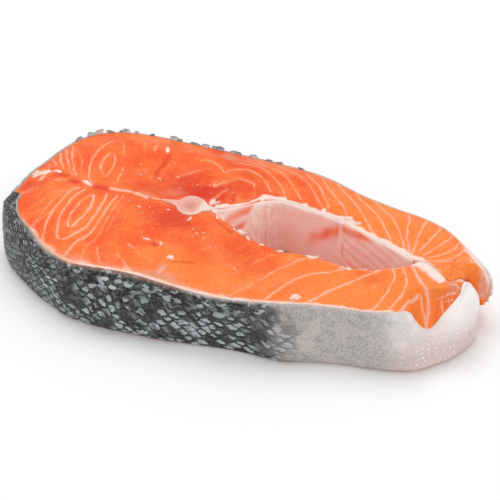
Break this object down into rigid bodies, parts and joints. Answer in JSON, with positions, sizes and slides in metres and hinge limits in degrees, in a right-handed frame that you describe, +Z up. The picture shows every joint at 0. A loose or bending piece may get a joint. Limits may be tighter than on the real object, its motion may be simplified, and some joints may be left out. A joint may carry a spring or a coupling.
{
  "type": "salmon steak",
  "caption": "Cross-cut salmon steak lying flat: C-shaped slab of flesh round an open belly cavity, skin outside, cut backbone at its head.",
  "frame": {"origin": "on the lower cut face's plane, under the middle of the whole slice's box", "axes": "+X from the fish's back to the tips of the belly flaps, +Y toward the side of the fish that carries the far flap, +Z up out of the upper cut face"},
  "size_m": [0.193, 0.0992, 0.0243],
  "materials": {
    "flesh": "moist satin with pale fat lines",
    "skin": "satin, scaled, dark grey turning pale at the belly",
    "membrane": "moist gloss",
    "bone": "matt with a moist film"
  },
  "bodies": {
    "root": {"flesh": "flesh", "skin": "skin", "belly_lining": "membrane", "backbone": "bone"}
  },
  "joints": []
}
